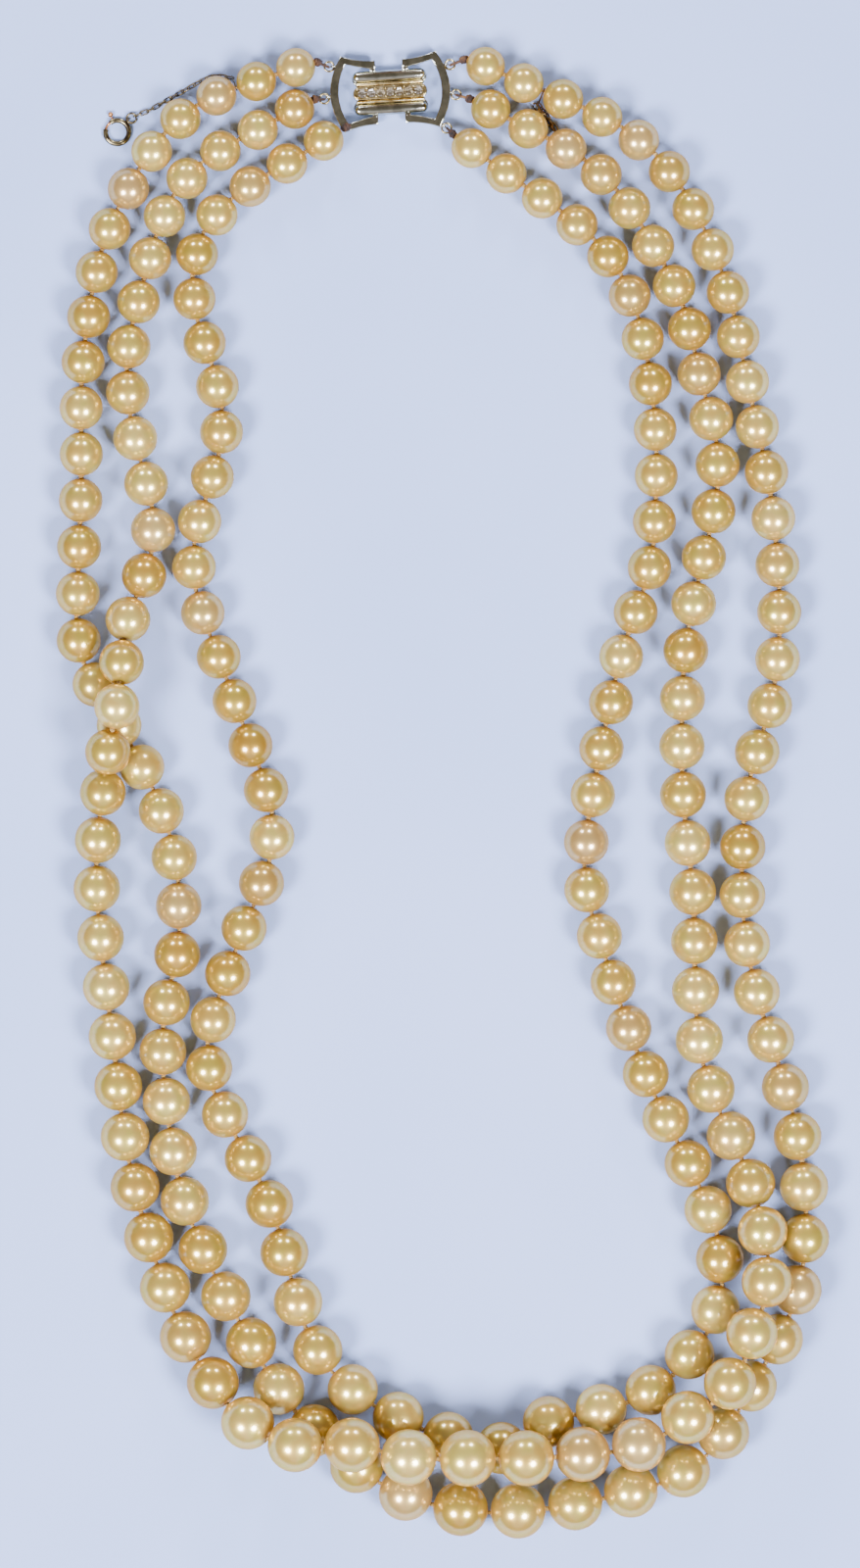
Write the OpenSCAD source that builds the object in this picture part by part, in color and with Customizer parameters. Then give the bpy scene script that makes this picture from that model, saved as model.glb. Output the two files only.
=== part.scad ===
// Three strands of graduated pearls on a white and yellow gold clasp, lying flat.
// All sizes are in millimetres. The loop lies on z = 0 with the clasp at +Y.

/* [Pearls] */
// Number of pearls on the outer strand
outer_count = 73; // [61:2:85]
// Number of pearls on the middle strand
middle_count = 69; // [57:2:81]
// Number of pearls on the inner strand
inner_count = 65; // [53:2:77]
// Diameter of the outer strand's largest pearl
outer_mid_d = 8.9; // [8:0.1:10]
// Diameter of the middle strand's largest pearl
middle_mid_d = 9.1; // [8:0.1:10]
// Diameter of the inner strand's largest pearl
inner_mid_d = 8.4; // [7.6:0.1:9.4]
// Diameter of the outer strand's end pearls
outer_end_d = 6.3; // [5.6:0.1:7]
// Diameter of the middle strand's end pearls
middle_end_d = 6.4; // [5.6:0.1:7]
// Diameter of the inner strand's end pearls
inner_end_d = 6.5; // [5.6:0.1:7]
// Diameter of the hole drilled through each pearl
drill_d = 0.9; // [0.8:0.05:1.2]
// Space between two pearls, filled by a knot
knot_gap = 0.3; // [0.25:0.05:0.6]

/* [Silk] */
// Diameter of the silk that the pearls are strung on
silk_d = 0.5; // [0.3:0.05:0.6]
// Diameter of the knots between the pearls
knot_d = 1; // [0.8:0.05:1.1]
// Diameter of the knots at the clasp
end_knot_d = 0.8; // [0.7:0.05:1]
// Length of silk between a jump ring and the first pearl
end_silk = 1.4; // [1:0.1:3]

/* [Clasp] */
// Turn of the clasp on the surface, in degrees
clasp_turn = 3.4; // [-10:0.1:10]
// Height of the clasp's underside above the surface
clasp_lift = 0.3; // [0.2:0.05:1]
// Height of the end pieces from corner to corner
frame_w = 12.2; // [11.4:0.1:15]
// Distance from the barrel's end to the middle of an end piece
frame_reach = 3.65; // [3.2:0.05:6]
// Width of the end pieces' band
band_w = 1.35; // [1.1:0.05:1.6]
// Thickness of the end pieces
band_t = 1.4; // [1.2:0.05:1.8]
// Outward bow of an end piece's long side
frame_bow = 2; // [1.2:0.1:2.6]
// Space between the arms of the two end pieces
arm_gap = 4.3; // [2:0.1:6]
// Length of the feet that hold the arms to the barrel
foot_l = 0.9; // [0.6:0.05:1.2]
// Width of each of the barrel's three lobes
lobe_w = 2.4; // [2.3:0.05:2.6]
// Height of the barrel's base under its wires and stones
base_t = 1.2; // [1:0.05:1.6]
// Diameter of the two polished outer wires
rod_d = 1.5; // [1.2:0.05:1.6]
// Diameter of the two yellow gold wires
strip_d = 0.8; // [0.6:0.05:0.9]
// Width of the raised channel that holds the stones
channel_w = 2; // [1.9:0.05:2.2]
// Height of the channel above the base
channel_h = 1.1; // [0.9:0.05:1.6]
// Solid end of the channel beyond the row of stones
channel_end = 0.7; // [0.5:0.05:1.5]
// Diameter of a stone across its girdle
stone_d = 1.4; // [1.1:0.05:1.5]
// Space between two stones
stone_gap = 0.1; // [0.1:0.02:0.3]

/* [Rings] */
// Outer diameter of the eyelets soldered to the end pieces
eyelet_d = 1.1; // [1:0.05:1.4]
// Wire of the eyelets
eyelet_wire = 0.26; // [0.2:0.02:0.3]
// Outer diameter of the jump rings
jump_d = 1.6; // [1.5:0.05:2.2]
// Wire of the jump rings
jump_wire = 0.24; // [0.18:0.02:0.28]

/* [Safety chain] */
// Distance from link to link
link_pitch = 1.1; // [0.9:0.02:1.2]
// Wire of the links
link_wire = 0.2; // [0.16:0.02:0.22]
// Outer length of a link
link_l = 1.7; // [1.6:0.05:1.85]
// Outer width of a link
link_w = 0.9; // [0.8:0.05:1.1]
// Outer length of the long link that goes round the silk
loop_l = 3.9; // [3.75:0.05:4.4]
// Outer width of the long link
loop_w = 1.3; // [1.2:0.05:1.6]

/* [Bolt ring] */
// Outer diameter of the bolt ring
bolt_ring_d = 4.6; // [4:0.1:6]
// Diameter of its tube
tube_d = 0.86; // [0.8:0.02:1]
// Wall of the tube
tube_wall = 0.11; // [0.08:0.01:0.14]
// Diameter of the sliding wire inside
bolt_d = 0.42; // [0.3:0.02:0.46]
// Opening of the ring that the wire closes, in degrees
mouth_angle = 40; // [30:1:50]
// Diameter of the thumb piece
thumb_d = 0.84; // [0.7:0.02:0.86]
// Distance from the tube to the middle of the thumb piece
thumb_reach = 0.7; // [0.6:0.05:1]

/* [Hidden] */

// How the pearls grade: distance from the middle of a strand to its end, and
// the pearl's share of the step from the end size to the middle size.
GRADE = [[0, 1], [0.1, 0.85], [0.2, 0.65], [0.35, 0.47], [0.55, 0.35], [0.8, 0.23], [1, 0]];

// Routes of the three strands from the clasp's left side round to its right, in
// a layout whose clasp is at CLASP_AT. Columns: x, y, and how high the strand
// rides on the others, as a share of the middle strand's largest pearl.
CLASP_AT = [-7.7, 230.8];
ROUTE_OUTER = [[-40.5, 227, 0], [-52, 210, 0], [-56.5, 189.5, 0], [-57, 168, 0],
    [-57.5, 145, 0], [-55.5, 137.5, 0], [-48, 124.5, 0], [-42.5, 110.5, 0], [-41.5, 95, 0],
    [-44, 79, 0], [-40.5, 54, 0], [-30, 31.5, 0], [-20.5, 18, 0], [-6, 7.5, 0],
    [12.5, 4.5, 0], [38.5, 10.5, 0], [49, 23, 0], [57.5, 41, 0], [57.5, 63, 0],
    [49.5, 93, 0], [49, 116.5, 0], [54, 139, 0], [53.5, 162, 0], [49.5, 183.5, 0],
    [44, 205, 0], [32, 223, 0]];
ROUTE_MIDDLE = [[-40.5, 216.5, 0], [-48, 196.5, 0], [-49.5, 182, 0], [-45.5, 160.5, 0],
    [-49.5, 146.5, 0.2], [-51, 133, 0.82], [-52.5, 125.5, 0.67], [-53.5, 118.5, 0.2],
    [-54.5, 104, 0], [-52, 80, 0], [-48.5, 56.5, 0], [-40.5, 32.5, 0], [-30.5, 19, 0.52],
    [-22.5, 15.5, 0.88], [-13, 15.5, 0.9], [-4, 13.5, 0.84], [5.5, 13.5, 0.88],
    [14.5, 13.5, 0.83], [23.5, 14, 0.6], [32, 15.5, 0.56], [40.5, 20.5, 0.7],
    [47, 26.5, 0.84], [52.5, 43, 0.66], [51, 51, 0.45], [49, 59, 0.12], [42, 77, 0],
    [40.5, 104, 0], [39, 119, 0], [39.5, 142, 0], [44.5, 169, 0], [41.5, 186, 0],
    [37.5, 200, 0], [26, 217.5, 0]];
ROUTE_INNER = [[-35, 211.5, 0], [-39, 198.5, 0], [-34.5, 178, 0], [-39, 155, 0],
    [-32.5, 133.5, 0], [-26.5, 112.5, 0], [-33.5, 90.5, 0], [-36.5, 74.5, 0],
    [-27, 53.5, 0], [-19.5, 30.5, 0], [-7.5, 20, 0], [9, 14.5, 0], [17, 18.5, 0],
    [33.5, 23.5, 0], [44, 36, 0], [43.5, 51, 0], [33.5, 73, 0], [26, 95, 0],
    [23.5, 110, 0], [29, 140, 0], [34, 157, 0], [34, 183, 0], [27, 204.5, 0]];
// The safety chain's way between the bolt ring and its long link: x, y.
ROUTE_CHAIN = [[-45.9, 228.1], [-41.5, 230.6], [-37.7, 232.7], [-35.6, 233.4]];
// The broken end's way from its long link: x, y.
ROUTE_END = [[17.2, 227.3], [18.5, 225.3]];
// Middle of the bolt ring in the same layout.
BOLT_RING_AT = [-51.3, 224.5];

// Where the silk leaves the clasp. Columns: side, height on the end piece's long
// side as a share of half its width, direction of pull, and silk shown as a
// share of end_silk.
SIDE = 0;
HEIGHT = 1;
PULL = 2;
SILK = 3;
ENDS_OUTER = [[-1, 0.75, 179, 1.2], [1, 0.64, -7, 1.45]];
ENDS_MIDDLE = [[-1, -0.03, 197, 0.95], [1, -0.1, -27, 1.65]];
ENDS_INNER = [[-1, -0.87, 208, 0.45], [1, -0.92, -43, 1]];

// Small sizes that follow from the work.
LOOSE = 0.1;
SEAT = 0.2;
STEPS = 10;
SIDES = 6;
LINK_SIDES = 5;
LINK_STEPS = 12;
ROUND = 48;
STONES = 7;
SMALL = 0.01;
LOOP_GAP = 1;

// Plain vector helpers.
function unit(v) = v / norm(v);
function flat(v) = [v[0], v[1]];
function heading(a) = [cos(a), sin(a)];
function turned(p, a) = [p[0] * cos(a) - p[1] * sin(a), p[0] * sin(a) + p[1] * cos(a)];
function last(v) = v[len(v) - 1];
function blend(a, b, t) = a + (b - a) * t;

// Clasp sizes that follow from the named ones.
channel_l = STONES * (stone_d + stone_gap) + 2 * channel_end;
barrel_w = 3 * lobe_w - SEAT / 2;
frame_x = channel_l / 2 + frame_reach;
frame_z = clasp_lift + base_t / 2 + SEAT;
ring_z = frame_z + band_t / 2;
rod_y = barrel_w / 2 - rod_d / 2;
strip_y = (rod_y - rod_d / 2 + channel_w / 2) / 2;
channel_top = clasp_lift + base_t + channel_h;
eyelet_r = (eyelet_d - eyelet_wire) / 2;
jump_r = (jump_d - jump_wire) / 2;

// Outline of an end piece: the x of its bowed side at height y.
function side_x(y) = frame_x - frame_bow * pow(2 * y / frame_w, 2);
function end_eyelet(e) = [e[SIDE] * side_x(e[HEIGHT] * frame_w / 2), e[HEIGHT] * frame_w / 2]
    + heading(e[PULL]) * (eyelet_r - SEAT / 2);
function end_ring(e) = end_eyelet(e) + heading(e[PULL]) * jump_r;
// The corner hole of the inner strand's left end takes the silk without a ring.
function is_corner(e) = e == ENDS_INNER[0];
function end_hole(e) = is_corner(e)
    ? [e[SIDE] * (side_x(e[HEIGHT] * frame_w / 2) - band_w / 2), e[HEIGHT] * frame_w / 2]
    : end_ring(e) + heading(e[PULL]) * (jump_r - jump_wire / 2 - silk_d / 2 - LOOSE / 2);
function end_pearl(e, d) = end_hole(e) + heading(e[PULL]) * (jump_wire + e[SILK] * end_silk + d / 2);
function in_layout(p) = CLASP_AT + turned(p, clasp_turn);

// A smooth curve through points, continued straight at both ends.
function curve_at(p, t) = (2 * p[1] + (p[2] - p[0]) * t
    + (2 * p[0] - 5 * p[1] + 4 * p[2] - p[3]) * t * t
    + (3 * p[1] - p[0] - 3 * p[2] + p[3]) * t * t * t) / 2;
function padded(p) = concat([2 * p[0] - p[1]], p, [2 * last(p) - p[len(p) - 2]]);
function curve(p) = let (q = padded(p))
    concat([for (k = [0:len(p) - 2], j = [0:STEPS - 1])
        curve_at([q[k], q[k + 1], q[k + 2], q[k + 3]], j / STEPS)], [last(p)]);
// Running length along a list of points.
function runs(p) = [for (i = 0, s = 0; i < len(p); i = i + 1,
    s = s + (i < len(p) ? norm(p[i] - p[i - 1]) : 0)) s];
// Point at length s along the curve p whose running length is r.
function along(p, r, s) = [for (k = [0:len(p[0]) - 1]) lookup(s, [for (i = [0:len(p) - 1]) [r[i], p[i][k]]])];

// Pearls of one strand: their diameters, and the length they take up.
function diameters(n, end_d, mid_d) = [for (i = [0:n - 1])
    blend(end_d, mid_d, lookup(abs(2 * i / (n - 1) - 1), GRADE))];
function steps(d) = [for (i = 0, s = 0; i < len(d); i = i + 1,
    s = s + (i < len(d) ? (d[i] + d[i - 1]) / 2 + knot_gap : 0)) s];

// The curve of one strand at a given scale about the clasp.
function strand_curve(route, ends, d, k) = let (
    a = in_layout(end_pearl(ends[0], d[0])),
    b = in_layout(end_pearl(ends[1], last(d))),
    mid = [for (p = route) let (q = CLASP_AT + k * (flat(p) - CLASP_AT)) [q[0], q[1], p[2]]],
    c = curve(concat([[a[0], a[1], 0]], mid, [[b[0], b[1], 0]])))
    [for (p = c) [p[0], p[1], max(0, p[2]) * middle_mid_d]];
// Scale that a strand needs so that its pearls fit its curve.
function need(route, ends, d) = last(steps(d)) / last(runs(strand_curve(route, ends, d, 1)));

D_OUTER = diameters(outer_count, outer_end_d, outer_mid_d);
D_MIDDLE = diameters(middle_count, middle_end_d, middle_mid_d);
D_INNER = diameters(inner_count, inner_end_d, inner_mid_d);
LAYOUT = max(need(ROUTE_OUTER, ENDS_OUTER, D_OUTER), need(ROUTE_MIDDLE, ENDS_MIDDLE, D_MIDDLE),
    need(ROUTE_INNER, ENDS_INNER, D_INNER));

// Middles of a strand's pearls, spread evenly over its curve.
function middles(route, ends, d) = let (
    c = strand_curve(route, ends, d, LAYOUT),
    r = runs(c),
    s = steps(d))
    [for (i = [0:len(d) - 1]) along(c, r, s[i] / last(s) * last(r)) + [0, 0, d[i] / 2]];

P_OUTER = middles(ROUTE_OUTER, ENDS_OUTER, D_OUTER);
P_MIDDLE = middles(ROUTE_MIDDLE, ENDS_MIDDLE, D_MIDDLE);
P_INNER = middles(ROUTE_INNER, ENDS_INNER, D_INNER);

// The origin lies under the middle of the box round all pearls.
ALL_P = concat(P_OUTER, P_MIDDLE, P_INNER);
ALL_D = concat(D_OUTER, D_MIDDLE, D_INNER);
function low(k) = min([for (i = [0:len(ALL_P) - 1]) ALL_P[i][k] - ALL_D[i] / 2]);
function high(k) = max([for (i = [0:len(ALL_P) - 1]) ALL_P[i][k] + ALL_D[i] / 2]);
ORIGIN = [(low(0) + high(0)) / 2, (low(1) + high(1)) / 2, 0];

// Directions of a strand's holes: each looks from the pearl before to the one after.
function over_ring(e) = let (p = in_layout(end_hole(e) + heading(e[PULL]) * end_knot_d))
    [p[0], p[1], ring_z + band_t / 2 + SEAT + end_knot_d / 2];
function drills(p, ends) = let (line = concat([over_ring(ends[0])], p, [over_ring(ends[1])]))
    [for (i = [0:len(p) - 1]) unit(line[i + 2] - line[i])];

// The silk's way through one clasp end: a knot below the ring, the silk up
// through it, and a knot on top.
function silk_end(e) = let (p = in_layout(end_hole(e)))
    concat([for (z = [SEAT, frame_z / 2, frame_z - LOOSE, ring_z + band_t / 2 + SEAT]) [p[0], p[1], z]],
        [over_ring(e)]);
thin_r = silk_d / 2 - LOOSE / 2;
silk_end_r = [thin_r, (knot_d + end_knot_d) / 5, thin_r, thin_r, end_knot_d / 2];
function backwards(v) = [for (i = [len(v) - 1:-1:0]) v[i]];
function silk_path(p, d, ends) = let (t = drills(p, ends))
    concat(silk_end(ends[0]),
        [for (i = [0:len(p) - 1]) each let (r = d[i] / 2, go = p[i] - t[i] * r, out = p[i] + t[i] * r)
            i == len(p) - 1 ? [go, out]
            : [go, out, (out + p[i + 1] - t[i + 1] * d[i + 1] / 2) / 2]],
        backwards(silk_end(ends[1])));
// Radius at each point of the silk; the gaps named in bare have no knot.
function silk_radii(n, bare) = concat(silk_end_r,
    [for (i = [0:n - 1]) each i == n - 1 ? [silk_d / 2, silk_d / 2]
        : [silk_d / 2, silk_d / 2, len(search(i, bare)) > 0 ? silk_d / 2 : knot_d / 2]],
    backwards(silk_end_r));
CHAIN_GAP = LOOP_GAP;
END_GAP = outer_count - 2 - LOOP_GAP;
// Direction at each point of the silk: along the hole in a pearl whose holes
// look along t, and halfway between two holes at a knot.
function silk_ways(path, t) = let (ends = len(silk_end_r), own = tangents(path, false))
    [for (i = [0:len(path) - 1]) let (k = i - ends, pearl = floor(k / 3))
        k < 0 || i >= len(path) - ends ? own[i]
        : k % 3 == 2 ? unit(t[pearl] + t[pearl + 1]) : t[pearl]];

// A tube swept along points p with a radius r and a direction t at each, closed
// by flat ends.
function tangents(p, closed) = let (n = len(p)) [for (i = [0:n - 1])
    unit(p[closed ? (i + 1) % n : min(i + 1, n - 1)] - p[closed ? (i + n - 1) % n : max(i - 1, 0)])];
function across(v, t) = unit(v - (v * t) * t);
function normals(t, first) = [for (i = 0, v = across(first, t[0]); i < len(t); i = i + 1,
    v = across(v, t[min(i, len(t) - 1)])) v];
function rings(p, r, t, v, sides) = [for (i = [0:len(p) - 1], k = [0:sides - 1])
    let (a = 360 * k / sides) p[i] + r[i] * (cos(a) * v[i] + sin(a) * cross(t[i], v[i]))];
function skin(n, sides, closed) = [for (i = [0:n - (closed ? 1 : 2)], k = [0:sides - 1])
    let (a = i * sides, b = (i + 1) % n * sides, m = (k + 1) % sides)
    each [[a + k, b + k, b + m], [a + k, b + m, a + m]]];
module sweep(p, r, t, sides, first, closed) {
    v = normals(t, first);
    lids = closed ? [] : [[for (k = [0:sides - 1]) k], [for (k = [sides - 1:-1:0]) (len(p) - 1) * sides + k]];
    polyhedron(rings(p, r, t, v, sides), concat(skin(len(p), sides, closed), lids), convexity = 10);
}

// Everything is drawn in the layout and moved to the origin once.
module settled() {
    translate(-ORIGIN)
        children();
}

// A frame whose +X looks along v, with its +Z rolled about that direction.
module looking(v, roll = 0) {
    rotate([0, 0, atan2(v[1], v[0])])
        rotate([0, -atan2(v[2], norm(flat(v))), 0])
            rotate([roll, 0, 0])
                children();
}

// One drilled pearl, its hole along +X.
module pearl(d) {
    rotate([0, 90, 0])
        rotate_extrude($fn = ROUND)
            intersection() {
                circle(d = d, $fn = ROUND);
                translate([drill_d / 2, -d])
                    square([d, 2 * d]);
            }
}

module strand_pearls(p, d, ends) {
    t = drills(p, ends);
    settled()
        for (i = [0:len(p) - 1])
            translate(p[i])
                looking(t[i])
                    pearl(d[i]);
}

module pearls_outer() {
    color("#ecd199")
        strand_pearls(P_OUTER, D_OUTER, ENDS_OUTER);
}

module pearls_middle() {
    color("#efdcae")
        strand_pearls(P_MIDDLE, D_MIDDLE, ENDS_MIDDLE);
}

module pearls_inner() {
    color("#e9cb92")
        strand_pearls(P_INNER, D_INNER, ENDS_INNER);
}

module strand_silk(p, d, ends, bare) {
    path = silk_path(p, d, ends);
    settled()
        sweep(path, silk_radii(len(p), bare), silk_ways(path, drills(p, ends)), SIDES, [1, 0, 0], false);
}

module thread_outer() {
    color("#8d6a45")
        strand_silk(P_OUTER, D_OUTER, ENDS_OUTER, [CHAIN_GAP, END_GAP]);
}

module thread_middle() {
    color("#8d6a45")
        strand_silk(P_MIDDLE, D_MIDDLE, ENDS_MIDDLE, []);
}

module thread_inner() {
    color("#8d6a45")
        strand_silk(P_INNER, D_INNER, ENDS_INNER, []);
}

// A place in the clasp's own frame: +X along its length, +Y across it.
module on_clasp() {
    settled()
        translate([CLASP_AT[0], CLASP_AT[1], 0])
            rotate([0, 0, clasp_turn])
                children();
}

// Points of an edge from a to b, without b, bowed to the left of the way there.
function bowed(a, b, bow) = let (side = unit([a[1] - b[1], b[0] - a[0]]), n = 8)
    [for (i = [0:n - 1]) blend(a, b, i / n) + side * bow * (1 - pow(2 * i / n - 1, 2))];

// Outline of the right-hand end piece.
frame_corner = [frame_x - frame_bow, frame_w / 2];
arm_y = barrel_w / 2 + SEAT;
inner_corner = frame_corner - [band_w / 2, band_w];
module bracket_outline() {
    low_corner = [frame_corner[0], -frame_corner[1]];
    low_inner = [inner_corner[0], -inner_corner[1]];
    polygon(concat(
        bowed([arm_gap / 2, arm_y + band_w], frame_corner, -band_w / 5),
        bowed(frame_corner, low_corner, frame_bow),
        bowed(low_corner, [arm_gap / 2, -arm_y - band_w], -band_w / 5),
        [[arm_gap / 2, -arm_y - band_w]],
        bowed([arm_gap / 2, -arm_y], low_inner, -band_w / 8),
        bowed(low_inner, inner_corner, band_w / 2 - frame_bow),
        bowed(inner_corner, [arm_gap / 2, arm_y], -band_w / 8),
        [[arm_gap / 2, arm_y]]));
}

// A soldered eyelet, standing upright in the direction of pull.
module eyelet(e) {
    p = end_eyelet(e);
    translate([p[0], p[1], ring_z])
        rotate([0, 0, e[PULL]])
            rotate([90, 0, 0])
                rotate_extrude($fn = ROUND)
                    translate([eyelet_r, 0])
                        circle(d = eyelet_wire, $fn = ROUND);
}

module bracket(side, feet_reach) {
    mirror([side < 0 ? 1 : 0, 0, 0]) {
        translate([0, 0, frame_z])
            linear_extrude(height = band_t)
                bracket_outline();
        for (s = [-1, 1])
            translate([arm_gap / 2, s > 0 ? arm_y - feet_reach : -arm_y - band_w / 2, frame_z])
                cube([foot_l, feet_reach + band_w / 2, band_t]);
    }
}

// One lobe of the barrel's base, round ended.
module lobe(y) {
    translate([0, y, clasp_lift])
        linear_extrude(height = base_t)
            for (s = [-1, 1])
                hull_free_lobe(s);
}

module hull_free_lobe(s) {
    translate([s * (channel_l - lobe_w) / 2, 0])
        circle(d = lobe_w, $fn = ROUND);
    translate([-(channel_l - lobe_w) / 2, -lobe_w / 2])
        square([channel_l - lobe_w, lobe_w]);
}

// A wire with domed ends along the barrel.
module domed_wire(y, z, d, l) {
    translate([0, y, z])
        rotate([0, 90, 0])
            cylinder(d = d, h = l - d, center = true, $fn = ROUND);
    for (s = [-1, 1])
        translate([s * (l - d) / 2, y, z])
            sphere(d = d, $fn = ROUND);
}

module barrel() {
    lobe_y = (barrel_w - lobe_w) / 2;
    for (y = [-lobe_y, 0, lobe_y])
        lobe(y);
    for (s = [-1, 1]) {
        domed_wire(s * rod_y, clasp_lift + base_t, rod_d, channel_l - SEAT);
        domed_wire(s * strip_y, clasp_lift + base_t + strip_d / 4, strip_d, channel_l - lobe_w / 2);
    }
    difference() {
        translate([0, 0, clasp_lift + base_t / 2])
            linear_extrude(height = base_t / 2 + channel_h)
                intersection() {
                    square([channel_l, channel_w], center = true);
                    circle(d = channel_l, $fn = 2 * ROUND);
                }
        translate([0, 0, channel_top])
            cube([channel_l - 2 * channel_end + stone_gap, stone_d + LOOSE, 2 * stone_depth], center = true);
    }
}

stone_depth = stone_d * 0.55;
module clasp_box() {
    color("#d9d5c4")
        on_clasp() {
            barrel();
            difference() {
                bracket(-1, 2 * SEAT);
                let (p = end_hole(ENDS_INNER[0]))
                    translate([p[0], p[1], frame_z - 1])
                        cylinder(d = silk_d + LOOSE, h = band_t + 2, $fn = ROUND);
            }
            eyelet(ENDS_OUTER[0]);
            eyelet(ENDS_MIDDLE[0]);
        }
}

module clasp_tongue() {
    color("#d9d5c4")
        on_clasp() {
            bracket(1, SEAT - LOOSE);
            eyelet(ENDS_OUTER[1]);
            eyelet(ENDS_MIDDLE[1]);
            eyelet(ENDS_INNER[1]);
        }
}

// A round stone of eight facets with a table, its girdle at the channel's top.
module diamond(i) {
    girdle_h = stone_d * 0.04;
    crown_h = stone_d * 0.16;
    table_d = stone_d * 0.57;
    color("#f4f6f8")
        on_clasp()
            translate([(i - (STONES + 1) / 2) * (stone_d + stone_gap), 0, channel_top - stone_d * 0.08]) {
                cylinder(d = stone_d, h = girdle_h, $fn = 8);
                translate([0, 0, girdle_h])
                    cylinder(d1 = stone_d, d2 = table_d, h = crown_h, $fn = 8);
                translate([0, 0, -stone_d * 0.43])
                    cylinder(d1 = SMALL, d2 = stone_d, h = stone_d * 0.43, $fn = 8);
            }
}

// A jump ring, lying flat through its eyelet.
module jump_ring(e) {
    p = end_ring(e);
    color("#e0d3a8")
        on_clasp()
            translate([p[0], p[1], ring_z])
                rotate_extrude($fn = ROUND)
                    translate([jump_r, 0])
                        circle(d = jump_wire, $fn = ROUND);
}

// An oval link of outer length l and outer width w, lying flat along +X.
function oval(l, w, wire) = [for (k = [0:LINK_STEPS - 1]) let (a = 360 * (k + 0.5) / LINK_STEPS)
    [(l - wire) / 2 * cos(a) * (1 + 0.1 * pow(sin(2 * a), 2)),
    (w - wire) / 2 * sin(a) * (1 + 0.12 * pow(sin(2 * a), 2)), 0]];
module oval_link(l, w, wire) {
    line = oval(l, w, wire);
    sweep(line, [for (p = line) wire / 2], tangents(line, true), LINK_SIDES, [0, 0, 1], true);
}

// A run of links along the curve p, from its first point to its last, each a
// quarter turn from the one before. The last one lies flat, and the first one
// lies flat too where odd is 0, or stands where it is 1. On top of that they
// roll slowly from the angle roll_a to roll_b.
module links(p, odd, roll_a, roll_b) {
    c = curve(p);
    r = runs(c);
    n = 2 * round((last(r) / link_pitch - odd) / 2) + odd;
    pitch = last(r) / n;
    for (i = [0:n]) {
        s = i * pitch;
        a = along(c, r, max(0, s - pitch / 4));
        b = along(c, r, min(last(r), s + pitch / 4));
        translate(along(c, r, s))
            looking(unit(b - a), blend(roll_a, roll_b, i / n) + (n - i) % 2 * 90)
                oval_link(link_l, link_w, link_wire);
    }
}
// From the middle of a link to the middle of the wire that hangs in its end.
link_hook = link_l / 2 - 3 * link_wire / 2 - LOOSE;

// The long link round the silk: it hangs from the gap after pearl g and
// slants down to the surface, on one side of the strand.
function gap_middle(g) = let (t = drills(P_OUTER, ENDS_OUTER))
    (P_OUTER[g] + t[g] * D_OUTER[g] / 2 + P_OUTER[g + 1] - t[g + 1] * D_OUTER[g + 1] / 2) / 2;
function gap_along(g) = unit(flat(P_OUTER[g + 1] - P_OUTER[g]));
function gap_aside(g, side) = side * [gap_along(g)[1], -gap_along(g)[0]];
middle_of_links = link_w / 2;
loop_reach = loop_l - 3 * link_wire / 2 - silk_d / 2 - LOOSE / 2;
loop_fall = asin((outer_end_d / 2 - middle_of_links) / loop_reach);
// Direction of the long link, and the middle of its far end's wire.
function loop_way(g, side) = let (u = gap_aside(g, side))
    [u[0] * cos(loop_fall), u[1] * cos(loop_fall), -sin(loop_fall)];
function loop_end(g, side) = gap_middle(g) + loop_way(g, side) * loop_reach;
module long_link(g, side) {
    translate(gap_middle(g) + loop_way(g, side) * (loop_reach - (loop_l - link_wire) / 2))
        looking(loop_way(g, side), 90)
            oval_link(loop_l, loop_w, link_wire);
}

// The bolt ring's parts, in its own frame with +X towards the layout's +X.
bolt_r = (bolt_ring_d - tube_d) / 2;
bolt_z = tube_d / 2;
mouth_at = 148;
thumb_at = mouth_at - mouth_angle / 2 - 17;
eyelet_at = 48;
chain_heading = 28;
bolt_grip = 7;
bolt_eyelet = heading(eyelet_at) * (bolt_r + tube_d / 2 + eyelet_r - SEAT);
bolt_link = bolt_eyelet + heading(chain_heading) * jump_r;
module at_bolt_ring() {
    settled()
        translate([BOLT_RING_AT[0], BOLT_RING_AT[1], bolt_z])
            children();
}

// A piece of torus from angle a to angle b.
module arc_tube(r, d, a, b) {
    rotate([0, 0, a])
        rotate_extrude(angle = b - a, $fn = 2 * ROUND)
            translate([r, 0])
                circle(d = d, $fn = ROUND);
}

module bolt_ring() {
    bore = tube_d - 2 * tube_wall;
    stem_slot = bolt_d + LOOSE;
    slot_end = asin(stem_slot / bolt_r);
    color("#b9ab90")
        at_bolt_ring() {
            difference() {
                arc_tube(bolt_r, tube_d, mouth_at + mouth_angle / 2 - 360, mouth_at - mouth_angle / 2);
                arc_tube(bolt_r, bore, thumb_at - mouth_angle - 4 * bolt_grip, mouth_at + 3 * bolt_grip);
                arc_tube(bolt_r, bore, mouth_at + mouth_angle / 2 - bolt_grip - 360,
                    mouth_at + mouth_angle / 2 + 3 * bolt_grip - 360);
                rotate([0, 0, thumb_at - mouth_angle - slot_end])
                    rotate_extrude(angle = mouth_angle + 2 * slot_end, $fn = 2 * ROUND)
                        translate([bolt_r, -stem_slot / 2])
                            square([tube_d, stem_slot]);
            }
            translate([bolt_eyelet[0], bolt_eyelet[1], 0])
                rotate([0, 0, eyelet_at])
                    rotate([90, 0, 0])
                        rotate_extrude($fn = ROUND)
                            translate([eyelet_r, 0])
                                circle(d = eyelet_wire, $fn = ROUND);
        }
}

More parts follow.
